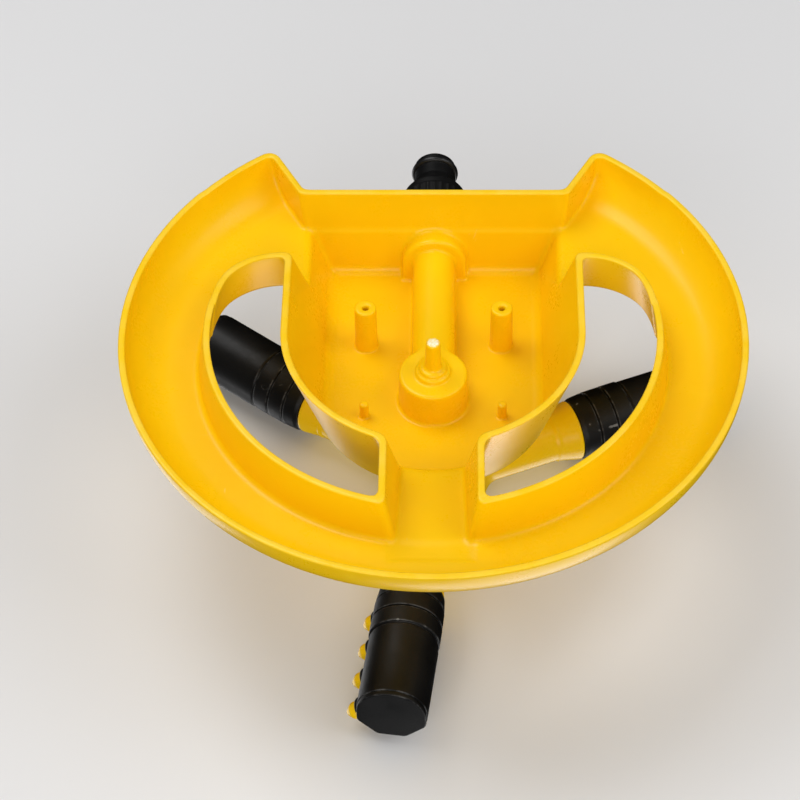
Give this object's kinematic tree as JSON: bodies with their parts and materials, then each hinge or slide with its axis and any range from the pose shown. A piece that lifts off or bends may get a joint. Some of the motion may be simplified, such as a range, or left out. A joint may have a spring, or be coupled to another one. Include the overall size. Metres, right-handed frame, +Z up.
{
  "type": "rotary lawn sprinkler",
  "caption": "Rotary garden sprinkler: ring base with hand holes and central tub, rear hose adapter, and a free-turning rotor with twistable spray heads.",
  "frame": {"origin": "on the rotor axis at ground level, under the middle of the ring", "axes": "+Z up along the rotor axis, +Y towards the hose inlet at the rear, -Y the front of the ring"},
  "size_m": [0.215, 0.2181, 0.0921],
  "materials": {
    "yellow_plastic": "moulded gloss",
    "black_plastic": "fine satin grain",
    "black_rubber": "smooth",
    "white_acetal": "satin",
    "steel": "plain"
  },
  "bodies": {
    "base_assembly": {"base": "yellow_plastic", "inlet_connector": "black_plastic", "connector_o_ring": "black_rubber", "inlet_washer": "black_rubber", "inlet_filter": "white_acetal", "spindle": "white_acetal", "spindle_o_ring": "black_rubber", "retaining_washer": "steel", "retaining_screw": "steel", "thrust_washer": "white_acetal"},
    "rotor": {"rotor_hub": "yellow_plastic", "hub_bush": "white_acetal", "hub_seal": "black_rubber", "hub_cap": "black_plastic"},
    "head_front": {"spray_body_front": "black_plastic", "nozzle_strip_front": "yellow_plastic", "end_cap_front": "black_plastic", "head_o_ring_front": "black_rubber"},
    "head_right": {"spray_body_right": "black_plastic", "nozzle_strip_right": "yellow_plastic", "end_cap_right": "black_plastic", "head_o_ring_right": "black_rubber"},
    "head_left": {"spray_body_left": "black_plastic", "nozzle_strip_left": "yellow_plastic", "end_cap_left": "black_plastic", "head_o_ring_left": "black_rubber"}
  },
  "joints": [
    {"name": "rotor_spin", "type": "hinge", "parent": "base_assembly", "child": "rotor", "pos_m": [0, 0, 0.0774], "axis": [0, 0, 1], "continuous": true},
    {"name": "head_twist_front", "type": "hinge", "parent": "rotor", "child": "head_front", "pos_m": [0.00644, -0.04958, 0.0774], "axis": [0.1288, -0.9917, 0], "range_deg": [-45, 45]},
    {"name": "head_twist_right", "type": "hinge", "parent": "rotor", "child": "head_right", "pos_m": [0.03972, 0.03037, 0.0774], "axis": [0.7944, 0.6074, 0], "range_deg": [-45, 45]},
    {"name": "head_twist_left", "type": "hinge", "parent": "rotor", "child": "head_left", "pos_m": [-0.04616, 0.01921, 0.0774], "axis": [-0.9232, 0.3843, 0], "range_deg": [-45, 45]}
  ]
}
